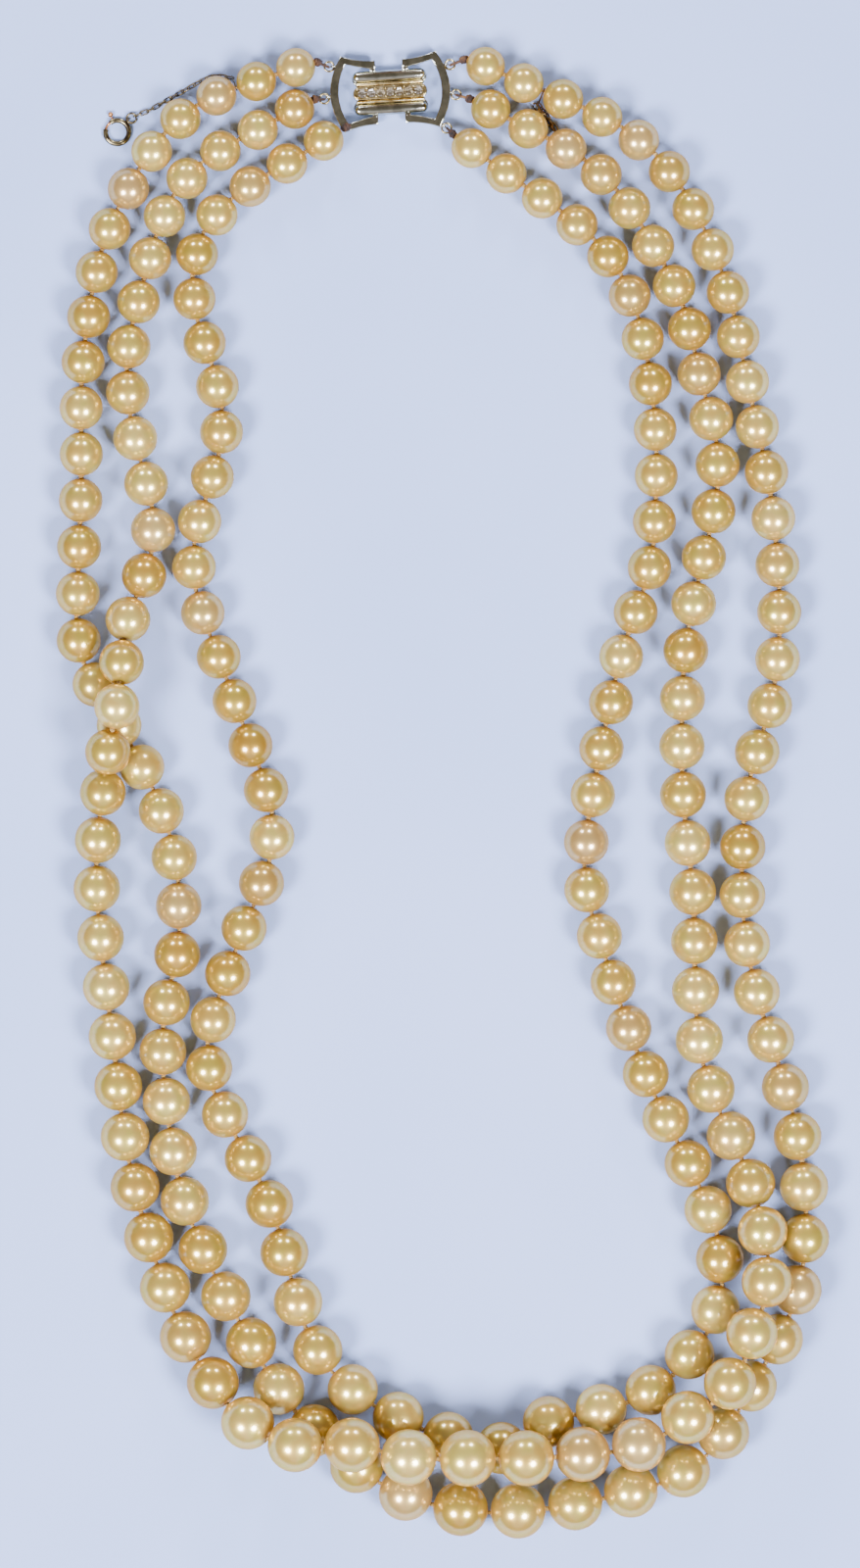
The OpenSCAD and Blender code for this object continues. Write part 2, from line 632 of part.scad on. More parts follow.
// The sliding wire, closed across the mouth, with its thumb piece.
module bolt() {
    stem_d = bolt_d - LOOSE;
    color("#b5713c")
        at_bolt_ring() {
            arc_tube(bolt_r, bolt_d, thumb_at - 3 * bolt_grip, mouth_at + mouth_angle / 2 + bolt_grip);
            rotate([0, 0, thumb_at])
                translate([bolt_r, 0, 0])
                    rotate([0, 90, 0])
                        cylinder(d = stem_d, h = tube_d / 2 + thumb_reach, $fn = ROUND);
            rotate([0, 0, thumb_at])
                translate([bolt_r + tube_d / 2 + thumb_reach, 0, 0])
                    sphere(d = thumb_d, $fn = ROUND);
        }
}

// The safety chain: the ring at the bolt ring's eyelet, the links, and the long
// link round the outer strand's silk.
module safety_chain() {
    link_at = BOLT_RING_AT + bolt_link;
    start = link_at + heading(chain_heading) * (jump_r + link_hook);
    stop = loop_end(CHAIN_GAP, 1) - [link_hook, 0, 0];
    color("#a79a80")
        settled() {
            translate([link_at[0], link_at[1], bolt_z])
                rotate_extrude($fn = ROUND)
                    translate([jump_r, 0])
                        circle(d = jump_wire, $fn = ROUND);
            links(concat([[start[0], start[1], bolt_z]],
                [for (p = ROUTE_CHAIN) [p[0], p[1], middle_of_links]], [stop]), 1, 0, -loop_fall);
            long_link(CHAIN_GAP, 1);
        }
}

// What is left of the chain at the other side, dark with age.
module chain_end() {
    start = loop_end(END_GAP, -1) + link_hook * [0.5, -0.85, 0];
    color("#6d5238")
        settled() {
            long_link(END_GAP, -1);
            links(concat([start], [for (p = ROUTE_END) [p[0], p[1], middle_of_links]]), 0, loop_fall, 0);
        }
}

pearls_outer();
pearls_middle();
pearls_inner();
thread_outer();
thread_middle();
thread_inner();
clasp_box();
clasp_tongue();
diamond(1);  // diamond_1
diamond(2);  // diamond_2
diamond(3);  // diamond_3
diamond(4);  // diamond_4
diamond(5);  // diamond_5
diamond(6);  // diamond_6
diamond(7);  // diamond_7
jump_ring(ENDS_OUTER[0]);  // jump_ring_left_upper
jump_ring(ENDS_MIDDLE[0]);  // jump_ring_left_middle
jump_ring(ENDS_OUTER[1]);  // jump_ring_right_upper
jump_ring(ENDS_MIDDLE[1]);  // jump_ring_right_middle
jump_ring(ENDS_INNER[1]);  // jump_ring_right_lower
safety_chain();
bolt_ring();
bolt();
chain_end();
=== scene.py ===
import math
import random

import bmesh
import bpy
import numpy as np
from mathutils import Matrix, Vector


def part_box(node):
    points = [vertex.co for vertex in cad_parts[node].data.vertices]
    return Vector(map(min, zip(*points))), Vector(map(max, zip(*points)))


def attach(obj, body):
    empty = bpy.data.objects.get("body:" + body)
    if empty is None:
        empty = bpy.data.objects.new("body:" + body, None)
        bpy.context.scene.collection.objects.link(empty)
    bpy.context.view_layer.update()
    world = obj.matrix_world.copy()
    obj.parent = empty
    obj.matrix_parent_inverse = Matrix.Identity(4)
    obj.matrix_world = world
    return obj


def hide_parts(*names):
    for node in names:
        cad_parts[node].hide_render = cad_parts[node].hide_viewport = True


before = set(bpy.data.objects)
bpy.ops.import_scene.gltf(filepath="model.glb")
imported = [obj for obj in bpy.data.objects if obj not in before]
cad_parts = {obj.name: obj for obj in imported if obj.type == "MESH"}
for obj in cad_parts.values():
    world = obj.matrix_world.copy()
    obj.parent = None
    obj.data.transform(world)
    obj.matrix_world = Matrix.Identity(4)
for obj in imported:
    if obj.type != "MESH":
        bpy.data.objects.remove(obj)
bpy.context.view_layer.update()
MM = 0.001


# The surface: a table with a matt white cover, on which the necklace lies. The
# light turns it pale blue. Its colour is set darker than the cloth's own, because
# the lamps over it are strong.
def hue(code):
    """An sRGB hex colour as the linear colour that Blender works in."""
    parts = [int(code[i : i + 2], 16) / 255 for i in (1, 3, 5)]
    return [c / 12.92 if c < 0.04045 else ((c + 0.055) / 1.055) ** 2.4 for c in parts] + [1]


def add(tree, kind, links=(), **settings):
    """A node of that kind with its settings, fed by (its input, the output that feeds it)."""
    made = tree.nodes.new("ShaderNode" + kind)
    for key, value in settings.items():
        if key.startswith("in_"):
            name = key[3:]
            made.inputs[int(name) if name.isdigit() else name.replace("_", " ")].default_value = value
        else:
            setattr(made, key, value)
    for name, source in links:
        tree.links.new(source, made.inputs[name])
    return made


def finish_of(name, **values):
    """A new material with its shader's own values set, and its tree for patterns."""
    made = bpy.data.materials.new(name)
    made.use_nodes = True
    shader = made.node_tree.nodes["Principled BSDF"]
    for key, value in values.items():
        shader.inputs[key.replace("_", " ")].default_value = value
    return made, made.node_tree, shader


def stops(ramp, *pairs):
    """Sets a colour ramp's stops from (place, hex colour) pairs."""
    ends = ramp.color_ramp.elements
    while len(ends) < len(pairs):
        ends.new(0.5)
    for end, (place, code) in zip(ends, pairs):
        end.position = place
        end.color = hue(code)


cloth, tree, shader = finish_of("matt_white_table_cover", Roughness=0.9)
shader.inputs["Specular IOR Level"].default_value = 0.2
place = add(tree, "TexCoord").outputs["Object"]
# Bleached cotton, quite matt: only soft changes of tone show, about 70 mm across.
soft = add(tree, "TexNoise", [("Vector", place)], in_Scale=14.0, in_Detail=2.0)
tone = add(tree, "ValToRGB", [("Fac", soft.outputs["Fac"])])
stops(tone, (0.3, "#9fb2d9"), (0.7, "#a7b9df"))
tree.links.new(tone.outputs["Color"], shader.inputs["Base Color"])
TABLE_HALF, TABLE_DROP = 1.5, 0.04 * MM
level = Matrix.Translation((0, 0, -TABLE_DROP))
sheet = bmesh.new()
bmesh.ops.create_grid(sheet, x_segments=4, y_segments=4, size=TABLE_HALF, matrix=level)
table = bpy.data.objects.new("table_top", bpy.data.meshes.new("table_top"))
sheet.to_mesh(table.data)
sheet.free()
table.data.materials.append(cloth)
bpy.context.scene.collection.objects.link(table)


# The camera: straight above, as the picture was taken, a long way up so that
# nothing leans. The picture is 1600 pixels high, and a pixel is 0.156 mm at the
# level of the pearls' middles.
PIXEL, PICTURE_HIGH = 0.156 * MM, 1600
CAMERA_X, CAMERA_Y, CAMERA_UP, PEARL_LEVEL, SENSOR = -0.00198, 0.00132, 1.5, 0.0045, 36
camera = bpy.data.objects.new("camera", bpy.data.cameras.new("camera"))
camera.data.sensor_width = SENSOR
camera.data.lens = SENSOR * (CAMERA_UP - PEARL_LEVEL) / (PICTURE_HIGH * PIXEL)
camera.data.clip_start, camera.data.clip_end = 0.1, 20
camera.location = (CAMERA_X, CAMERA_Y, CAMERA_UP)
bpy.context.scene.collection.objects.link(camera)
bpy.context.scene.camera = camera


# The light: two broad lamps at the near side and two small ones at the far side,
# as the four highlights on every pearl show, with a large dim panel low down, and
# a dim room round them that has warm walls and a paler ceiling.
LAMP_AWAY, LAMP_WHITE = 1.5, "#e1e6ff"


def lamp(name, towards, size, power, tint):
    """A round lamp, its size in metres, that shines on the necklace from that side."""
    made = bpy.data.objects.new(name, bpy.data.lights.new(name, "AREA"))
    made.data.shape = "DISK"
    made.data.size = size
    made.data.energy = power
    made.data.color = hue(tint)[:3]
    way = Vector(towards).normalized()
    made.location = way * LAMP_AWAY
    made.rotation_mode = "QUATERNION"
    made.rotation_quaternion = way.to_track_quat("Z", "Y")
    bpy.context.scene.collection.objects.link(made)


lamp("broad_lamp_left", (-0.47, -0.37, 0.8), 0.55, 57.0, LAMP_WHITE)
lamp("broad_lamp_right", (0.43, -0.39, 0.81), 0.55, 57.0, LAMP_WHITE)
lamp("low_white_panel", (0.0, -0.78, 0.62), 1.3, 2.5, "#e9ecff")
lamp("far_lamp_left", (-0.32, 0.82, 0.46), 0.27, 11.0, LAMP_WHITE)
lamp("far_lamp_right", (0.24, 0.84, 0.48), 0.27, 11.0, LAMP_WHITE)
room = bpy.data.worlds.new("warm_room")
room.use_nodes = True
tree = room.node_tree
height = add(tree, "SeparateXYZ", [("Vector", add(tree, "TexCoord").outputs["Generated"])])
walls = add(tree, "ValToRGB", [("Fac", height.outputs["Z"])])
stops(walls, (0.55, "#ffc285"), (0.9, "#ffefdc"))
tree.links.new(walls.outputs["Color"], tree.nodes["Background"].inputs["Color"])
tree.nodes["Background"].inputs["Strength"].default_value = 0.23
bpy.context.scene.world = room


# The pearls: 207 cultured pearls, graduated from 6.3 mm at the clasp to 9.1 mm,
# drilled through and strung on three strands. No two are quite alike: each is
# a little off round, and its nacre runs from champagne to old gold.
def loose_parts(node):
    """The separate solids of a CAD node, as lists of points, in millimetres."""
    solid = bmesh.new()
    solid.from_mesh(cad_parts[node].data)
    # The node is loose triangles, so this copy of it is merged first.
    bmesh.ops.remove_doubles(solid, verts=solid.verts, dist=1e-7)
    parts, seen = [], set()
    for first in solid.verts:
        if first in seen:
            continue
        seen.add(first)
        part, edge = [], [first]
        while edge:
            v = edge.pop()
            part.append(v.co / MM)
            for e in v.link_edges:
                other = e.other_vert(v)
                if other not in seen:
                    seen.add(other)
                    edge.append(other)
        parts.append(np.array(part))
    solid.free()
    return parts


def strung(node):
    """The middles and diameters of a strand's pearls, in order round from the clasp's left."""
    left = [((p.min(0) + p.max(0)) / 2, np.median(np.ptp(p, axis=0))) for p in loose_parts(node)]
    clasp = (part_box("diamond_1")[0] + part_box("diamond_1")[1]) / 2 / MM
    at, row = np.array(clasp), []
    while left:
        nearest = min(range(len(left)), key=lambda i: np.linalg.norm(left[i][0] - at))
        row.append(left.pop(nearest))
        at = row[-1][0]
    return [Vector(p) for p, _ in row], [float(d) for _, d in row]


def show(name, shape, body, slot, finish, *stands_for, smooth=True):
    """Makes the piece from a mesh in millimetres, and ties it to its body and finish. The slot is not used.
    """
    bmesh.ops.scale(shape, verts=shape.verts, vec=(MM, MM, MM))
    made = bpy.data.objects.new(name, bpy.data.meshes.new(name))
    shape.to_mesh(made.data)
    shape.free()
    made.data.materials.append(finish)
    if smooth:
        made.data.polygons.foreach_set("use_smooth", [True] * len(made.data.polygons))
    bpy.context.scene.collection.objects.link(made)
    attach(made, body)
    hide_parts(*stands_for)


def nacre(name, pale, mid, deep):
    """Cultured pearl nacre: its thin layers give a satin golden glow under a clear polish."""
    made, tree, shader = finish_of(
        name, Metallic=0.62, Roughness=0.3, IOR=1.5, Coat_Weight=0.37, Coat_Roughness=0.105, Coat_IOR=2.8,
        Sheen_Weight=0.35, Sheen_Roughness=0.25,
    )
    shader.inputs["Sheen Tint"].default_value = hue("#ffae48")
    shader.inputs["Specular Tint"].default_value = hue("#f6bc5a")
    # Each pearl's own depth of gold, rosiness and pits are the three parts of one colour.
    own = add(tree, "Attribute", attribute_name="pearl_tone")
    split = add(tree, "SeparateColor", [("Color", own.outputs["Color"])])
    body = add(tree, "ValToRGB", [("Fac", split.outputs["Red"])])
    stops(body, (0.0, pale), (0.55, mid), (1.0, deep))
    place = add(tree, "TexCoord").outputs["Object"]
    # Growth clouds in the nacre, about 3 mm across.
    clouds = add(tree, "TexNoise", [("Vector", place)], in_Scale=330.0, in_Detail=2.0, in_Roughness=0.5)
    tint = add(tree, "ValToRGB", [("Fac", clouds.outputs["Fac"])])
    stops(tint, (0.35, "#fff3e6"), (0.5, "#ffffff"), (0.68, "#f4ffec"))
    cloudy = add(tree, "Mix", data_type="RGBA", blend_type="MULTIPLY")
    cloudy.inputs["Factor"].default_value = 1.0
    tree.links.new(body.outputs["Color"], cloudy.inputs["A"])
    tree.links.new(tint.outputs["Color"], cloudy.inputs["B"])
    # Some pearls are rosier than others.
    rosy = add(tree, "Mix", [("Factor", split.outputs["Green"])], data_type="RGBA")
    tree.links.new(cloudy.outputs["Result"], rosy.inputs["A"])
    rosy.inputs["B"].default_value = hue("#c4a067")
    tree.links.new(rosy.outputs["Result"], shader.inputs["Base Color"])
    # The polish is weaker towards the rim, where nacre scatters more of what it mirrors.
    rim = add(tree, "LayerWeight", in_Blend=0.5)
    gloss = add(
        tree, "MapRange", [("Value", rim.outputs["Facing"])],
        in_From_Min=0.2, in_From_Max=0.6, in_To_Min=0.46, in_To_Max=0.14,
    )
    tree.links.new(gloss.outputs["Result"], shader.inputs["Coat Weight"])
    # Fine pits and dents, about 0.6 mm apart, deeper on some pearls than on others.
    pits = add(tree, "TexVoronoi", [("Vector", place)], in_Scale=1600.0)
    pit = add(tree, "MapRange", [("Value", pits.outputs["Distance"])], in_From_Max=0.22)
    strength = add(tree, "Math", [(0, split.outputs["Blue"])], operation="MULTIPLY", in_1=0.25)
    bump = add(
        tree, "Bump", [("Height", pit.outputs["Result"]), ("Strength", strength.outputs["Value"])],
        in_Distance=0.00003,
    )
    tree.links.new(bump.outputs["Normal"], shader.inputs["Normal"])
    tree.links.new(bump.outputs["Normal"], shader.inputs["Coat Normal"])
    return made


def pattern(mesh):
    """A finished mesh as its points and faces, ready to be put down many times."""
    mesh.verts.index_update()
    kept = [v.co.copy() for v in mesh.verts], [[v.index for v in face.verts] for face in mesh.faces]
    mesh.free()
    return kept


def put(shape, kept, place):
    """Adds one copy of a pattern at a place, and returns its points."""
    made = [shape.verts.new(place @ point) for point in kept[0]]
    for face in kept[1]:
        shape.faces.new([made[i] for i in face])
    return made


def placed(at, way, roll=0.0, size=(1, 1, 1)):
    """A place whose Z looks along a way, for a mesh rolled about it and sized first."""
    turn = Vector((0, 0, 1)).rotation_difference(way).to_matrix().to_4x4()
    return Matrix.Translation(at) @ turn @ Matrix.Rotation(roll, 4, "Z") @ Matrix.Diagonal((*size, 1))


# The bore's width and how far out its rims lie, both on a globe 1 mm across.
BORE, BORE_RIM, NEAR_POLE = 0.11, 0.497, 0.4999


def drilled_globe():
    """A globe 1 mm across, its two poles opened and joined by the bore that the silk runs through."""
    globe = bmesh.new()
    bmesh.ops.create_uvsphere(globe, u_segments=28, v_segments=18, radius=0.5)
    bmesh.ops.delete(globe, geom=[v for v in globe.verts if abs(v.co.z) > NEAR_POLE], context="VERTS")
    for rim in (e for e in globe.edges if e.is_boundary):
        for v in rim.verts:
            out = Vector((v.co.x, v.co.y, 0)).normalized() * BORE / 2
            v.co = out + Vector((0, 0, math.copysign(BORE_RIM, v.co.z)))
    bmesh.ops.bridge_loops(globe, edges=[e for e in globe.edges if e.is_boundary])
    bmesh.ops.recalc_face_normals(globe, faces=globe.faces)
    return pattern(globe)


GLOBE = drilled_globe()
# The mean depth of gold and its spread. The powers make rosy and pitted pearls rare.
DEPTH, DEPTH_SPREAD, ROSIEST, ROSY_POWER, PITTED_POWER = 0.36, 0.2, 0.7, 14, 3
OFF_ROUND = 0.014
STRANDS = {}
for strand, seed, pale, mid, deep in (
    ("outer", 11, "#d8bc62", "#bf9e3e", "#b28b30"),
    ("middle", 23, "#dbc066", "#c3a343", "#b68f34"),
    ("inner", 37, "#d6b85c", "#bc9a3a", "#ae872d"),
):
    node = "pearls_" + strand
    spots, widths = strung(node)
    last = len(spots) - 1
    ways = [(spots[min(i + 1, last)] - spots[max(i - 1, 0)]).normalized() for i in range(len(spots))]
    STRANDS[strand] = (spots, widths, ways)
    finish = nacre("cultured_pearl_nacre_" + strand, pale, mid, deep)
    shape = bmesh.new()
    tones = shape.verts.layers.float_color.new("pearl_tone")
    draw = random.Random(seed)
    for spot, width, way in zip(spots, widths, ways):
        depth = min(1, max(0, draw.gauss(DEPTH, DEPTH_SPREAD)))
        own = (depth, ROSIEST * draw.random() ** ROSY_POWER, draw.random() ** PITTED_POWER, 1)
        size = [width * (1 - draw.uniform(0, OFF_ROUND)) for _ in "xyz"]
        for v in put(shape, GLOBE, placed(spot, way, draw.uniform(0, 3), size)):
            v[tones] = own
    show(node + "_strung", shape, "necklace", node, finish, node)


# The silk: each strand is strung on doubled silk, 0.4 mm thick, still cream between
# the pearls, with a small hand tied knot in every gap. At the clasp each strand
# ends in a bigger knot and a loop round its jump ring, brown with wear.
def silk_of(name, dark, mid, light):
    """Twisted silk: a soft matt thread, darker where dirt sits in the knots."""
    made, tree, shader = finish_of(name, Roughness=0.8, Sheen_Weight=0.08, Sheen_Roughness=0.4)
    place = add(tree, "TexCoord").outputs["Object"]
    # Dirt, in patches of about 1 mm.
    dirt = add(tree, "TexNoise", [("Vector", place)], in_Scale=900.0, in_Detail=3.0)
    tone = add(tree, "ValToRGB", [("Fac", dirt.outputs["Fac"])])
    stops(tone, (0.3, dark), (0.55, mid), (0.75, light))
    tree.links.new(tone.outputs["Color"], shader.inputs["Base Color"])
    # The plies, drawn about 0.3 mm apart, coarser than real ones so that they show.
    ply = add(
        tree, "TexWave", [("Vector", place)], wave_type="BANDS", bands_direction="DIAGONAL",
        in_Scale=1100.0, in_Distortion=3.0,
    )
    bump = add(tree, "Bump", [("Height", ply.outputs["Fac"])], in_Strength=0.6, in_Distance=0.00004)
    tree.links.new(bump.outputs["Normal"], shader.inputs["Normal"])
    return made


cream_silk = silk_of("cream_stringing_silk", "#8f6c34", "#bb964c", "#d6b772")
brown_silk = silk_of("soiled_brown_silk", "#1c1007", "#4c2f14", "#8a602e")
SILK_WIDE, KNOT_WIDE, END_KNOT = 0.42, 0.9, 1.5
RIDGE_DEEP, RIDGE_TWIST, KNOT_FLAT = 0.14, 11, 0.7


def knot_pattern():
    """A knot 1 mm across: a flattened ball of silk with its turns wound round it."""
    ball = bmesh.new()
    bmesh.ops.create_uvsphere(ball, u_segments=12, v_segments=8, radius=0.5)
    for v in ball.verts:
        around = 2 * math.atan2(v.co.y, v.co.x) + v.co.z * RIDGE_TWIST
        ridge = 1 - RIDGE_DEEP + RIDGE_DEEP * math.sin(around)
        v.co = Vector((v.co.x * ridge, v.co.y * ridge, v.co.z * KNOT_FLAT))
    return pattern(ball)


def ring_pattern(across, wire, long=None, steps=28, sides=10):
    """A wire ring lying flat, or an oval link where long is its outer length, along X."""
    wires = bmesh.new()
    start = Matrix.Translation(((across - wire) / 2, 0, 0)) @ Matrix.Rotation(math.pi / 2, 4, "X")
    bmesh.ops.create_circle(wires, segments=sides, radius=wire / 2, matrix=start)
    bmesh.ops.spin(
        wires, geom=wires.verts[:] + wires.edges[:], cent=(0, 0, 0), axis=(0, 0, 1), angle=math.tau,
        steps=steps, use_merge=True,
    )
    half_step = Matrix.Rotation(math.pi / steps, 3, "Z")
    bmesh.ops.rotate(wires, verts=wires.verts, cent=(0, 0, 0), matrix=half_step)
    for v in wires.verts if long else []:
        v.co.x += math.copysign((long - across) / 2, v.co.x)
    bmesh.ops.recalc_face_normals(wires, faces=wires.faces)
    return pattern(wires)


def stretch(shape, a, b):
    """A straight stretch of silk from a to b."""
    bmesh.ops.create_cone(
        shape, cap_ends=True, segments=8, radius1=SILK_WIDE / 2, radius2=SILK_WIDE / 2,
        depth=(b - a).length, matrix=placed((a + b) / 2, (b - a).normalized()),
    )


KNOT = knot_pattern()
TURN = ring_pattern(END_KNOT, SILK_WIDE, None, 18, 8)
# An end knot's core, across and along the strand's line, and where along that line
# each of its turns lies, and how wide it is beside END_KNOT.
CORE, TURN_LEAN, TURN_FLAT = (1.1, 1.1, 1.7), 0.3, 0.9
TURNS = ((-0.5, 0.8), (-0.18, 1.0), (0.14, 0.95), (0.46, 0.8))


def wound_knot(shape, at, line, draw):
    """An end knot: a core of silk with four turns wound round it, across the strand's line."""
    put(shape, KNOT, placed(at, line, draw.uniform(0, 6), CORE))
    for step, wide in TURNS:
        lean = line + Vector([draw.uniform(-TURN_LEAN, TURN_LEAN) for _ in "xyz"])
        size = (wide, wide * TURN_FLAT, 1)
        put(shape, TURN, placed(at + line * step, lean.normalized(), draw.uniform(0, 6), size))


# The silk starts just inside each pearl's bore. One gap from each end of the outer
# strand has no knot, because a long link of chain goes round the silk there.
SILK_START, CHAIN_GAP = 0.48, 1
# A strand's end is where the CAD silk comes down to the surface, as a foot. The
# hook over it is in the end piece's corner, or at the level of the jump ring.
FOOT_TOP, FOOT_WIDE, CORNER_REACH, CORNER_TOP, CORNER_DEEP, RING_LEVEL = 0.35, 1, 1.2, 2.75, 1, 1.8
KNOT_OUT, LOOP_WIDE, LOOP_OVER = 0.6, 1.1, 0.85
for strand, (spots, widths, ways) in STRANDS.items():
    shape = bmesh.new()
    draw = random.Random(len(spots))
    bare = (CHAIN_GAP, len(spots) - 2 - CHAIN_GAP) if strand == "outer" else ()
    for i in range(len(spots) - 1):
        out = spots[i] + ways[i] * widths[i] * SILK_START
        back = spots[i + 1] - ways[i + 1] * widths[i + 1] * SILK_START
        stretch(shape, out, back)
        if i not in bare:
            fat = KNOT_WIDE * draw.uniform(0.85, 1.1)
            roll = draw.uniform(0, 6)
            put(shape, KNOT, placed((out + back) / 2, (back - out).normalized(), roll, (fat, fat, fat)))
    show("thread_" + strand + "_knotted", shape, "necklace", "silk", cream_silk, "thread_" + strand)
    shape = bmesh.new()
    feet = [Vector(p) for p in loose_parts("thread_" + strand)[0] if p[2] < FOOT_TOP]
    for end, way in ((0, -ways[0]), (-1, ways[-1])):
        nearest = min(feet, key=lambda p: (p - spots[end]).length)
        around = [p for p in feet if (p - nearest).length < FOOT_WIDE]
        foot = sum(around, Vector()) / len(around)
        rim = spots[end] + way * widths[end] / 2
        if (rim - foot).xy.length < CORNER_REACH:
            hook = Vector((foot.x, foot.y, CORNER_TOP))
            stretch(shape, hook - Vector((0, 0, CORNER_DEEP)), hook)
            wound_knot(shape, hook, (rim - hook).normalized(), draw)
            continue
        hook = Vector((foot.x, foot.y, RING_LEVEL))
        line = (rim - hook).normalized()
        knot = rim - line * KNOT_OUT
        wound_knot(shape, knot, line, draw)
        stretch(shape, knot, spots[end])
        side = Vector((0, 0, 1)).cross(line).normalized()
        stand = Matrix((line, line.cross(side), side)).transposed().to_4x4()
        loop = ring_pattern(LOOP_WIDE, SILK_WIDE, (knot - hook).length + LOOP_OVER, 20, 8)
        put(shape, loop, Matrix.Translation((hook + knot) / 2) @ stand)
    show("thread_" + strand + "_end_knots", shape, "necklace", "silk", brown_silk, "thread_" + strand)


# The clasp's end pieces: two flat white gold brackets, 1.35 mm wide and 1.4 mm
# thick, their edges rounded by wear. Feet solder the left one to the barrel, and
# the right one is the tongue. Soldered eyelets hold the jump rings.
white_gold, tree, shader = finish_of("worn_white_gold", Metallic=1.0)
place = add(tree, "TexCoord").outputs["Object"]
# Grey olive tarnish in clouds of about 2 mm, and finer wear in the polish.
cloud = add(tree, "TexNoise", [("Vector", place)], in_Scale=500.0, in_Detail=4.0)
grey = add(tree, "ValToRGB", [("Fac", cloud.outputs["Fac"])])
stops(grey, (0.35, "#9c9c8a"), (0.6, "#c3c2b0"))
tree.links.new(grey.outputs["Color"], shader.inputs["Base Color"])
wear = add(tree, "TexNoise", [("Vector", place)], in_Scale=2600.0, in_Detail=3.0)
polish = add(tree, "MapRange", [("Value", wear.outputs["Fac"])], in_To_Min=0.1, in_To_Max=0.19)
tree.links.new(polish.outputs["Result"], shader.inputs["Roughness"])


def middle(node):
    """The middle of a CAD node, in millimetres."""
    low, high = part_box(node)
    return Vector((low + high) / 2 / MM)


def bowed(a, b, bow, steps=8):
    """The points of an edge from a to b, without b, bowed to the left of the way there."""
    side = Vector((a.y - b.y, b.x - a.x)).normalized()
    shares = [i / steps for i in range(steps)]
    return [a.lerp(b, share) + side * bow * (1 - (2 * share - 1) ** 2) for share in shares]


def smoothed(points):
    """Shades the faces round those points smoothly."""
    for v in points:
        for face in v.link_faces:
            face.smooth = True


def raised(shape, outline, low, high, by):
    """A flat piece of that outline from low to high, with its rims rounded by that much."""
    face = shape.faces.new([shape.verts.new((x, y, low)) for x, y in outline])
    grown = bmesh.ops.extrude_face_region(shape, geom=[face])["geom"]
    top = [g for g in grown if isinstance(g, bmesh.types.BMVert)]
    bmesh.ops.translate(shape, verts=top, vec=(0, 0, high - low))
    solid = list({f for v in top for f in v.link_faces} | {face})
    bmesh.ops.recalc_face_normals(shape, faces=solid)
    rims = {e for f in solid for e in f.edges if abs(e.verts[0].co.z - e.verts[1].co.z) < 1e-6}
    rounding = bmesh.ops.bevel(
        shape, geom=list(rims), offset=by, offset_type="OFFSET", affect="EDGES", segments=3,
        profile=0.5, material=-1, clamp_overlap=True,
    )
    for face in rounding["faces"]:
        face.smooth = True


stones = [middle(f"diamond_{i + 1}") for i in range(7)]
row = stones[-1] - stones[0]
centre = stones[3]
# The clasp is drawn straight, round 0, and this lays it on the row of stones.
CLASP = Matrix.Translation((centre.x, centre.y, 0)) @ Matrix.Rotation(math.atan2(row.y, row.x), 4, "Z")
BAND, FRAME_LOW, FRAME_TOP, ARM_END, ARM_IN = 1.35, 1.1, 2.5, 2.15, 3.75
CORNER, BOW, ARM_DIP, ARM_SWELL, EDGE_ROUND = Vector((7.6, 6.1)), 2.0, BAND / 5, BAND / 12, 0.14
FOOT_LONG, FOOT_DEEP, FOOT_IN, FOOT_REACH, FOOT_ROUND = 0.9, 0.95, 0.35, 0.8, 0.12
FOOT_SUNK = 0.02
RING, RING_WIRE, EYELET, EYELET_WIRE, EYELET_BACK = 1.9, 0.36, 1.1, 0.34, 0.68
# The jump rings on each end piece, and the way in which each pulls, in degrees.
SOLDERED = {
    -1: (("left_upper", 179), ("left_middle", 197)),
    1: (("right_upper", -7), ("right_middle", -27), ("right_lower", -43)),
}
for side, name, node in ((-1, "clasp_left_bracket", "clasp_box"), (1, "clasp_right_bracket", "clasp_tongue")):
    shape = bmesh.new()
    low_corner = Vector((CORNER.x, -CORNER.y))
    inner = CORNER - Vector((BAND / 2, BAND))
    low_inner = Vector((inner.x, -inner.y))
    tip, tip_in = Vector((ARM_END, ARM_IN + BAND)), Vector((ARM_END, ARM_IN))
    low_tip, low_tip_in = Vector((tip.x, -tip.y)), Vector((tip_in.x, -tip_in.y))
    outline = (
        bowed(tip, CORNER, -ARM_DIP) + bowed(CORNER, low_corner, BOW) + bowed(low_corner, low_tip, -ARM_DIP)
        + [low_tip] + bowed(low_tip_in, low_inner, ARM_SWELL) + bowed(low_inner, inner, BAND / 2 - BOW)
        + bowed(inner, tip_in, ARM_SWELL) + [tip_in]
    )
    raised(shape, [(side * x, y) for x, y in outline], FRAME_LOW, FRAME_TOP, EDGE_ROUND)
    for s in (-1, 1):
        x, y = side * ARM_END, s * (ARM_IN - FOOT_IN)
        far_x, far_y = x + side * FOOT_LONG, y + s * FOOT_REACH
        foot = [(x, y), (far_x, y), (far_x, far_y), (x, far_y)]
        raised(shape, foot, FRAME_LOW - FOOT_SUNK, FRAME_LOW + FOOT_DEEP, FOOT_ROUND)
    for ring, pull in SOLDERED[side]:
        at = CLASP.inverted() @ middle("jump_ring_" + ring)
        out = Vector((math.cos(math.radians(pull)), math.sin(math.radians(pull)), 0))
        upright = Matrix((out, (0, 0, 1), out.cross(Vector((0, 0, 1))))).transposed().to_4x4()
        eyelet = ring_pattern(EYELET, EYELET_WIRE, None, 20, 8)
        smoothed(put(shape, eyelet, Matrix.Translation(at - out * EYELET_BACK) @ upright))
    bmesh.ops.transform(shape, matrix=CLASP, verts=shape.verts)
    show(name, shape, "necklace", "white_gold", white_gold, node, smooth=False)


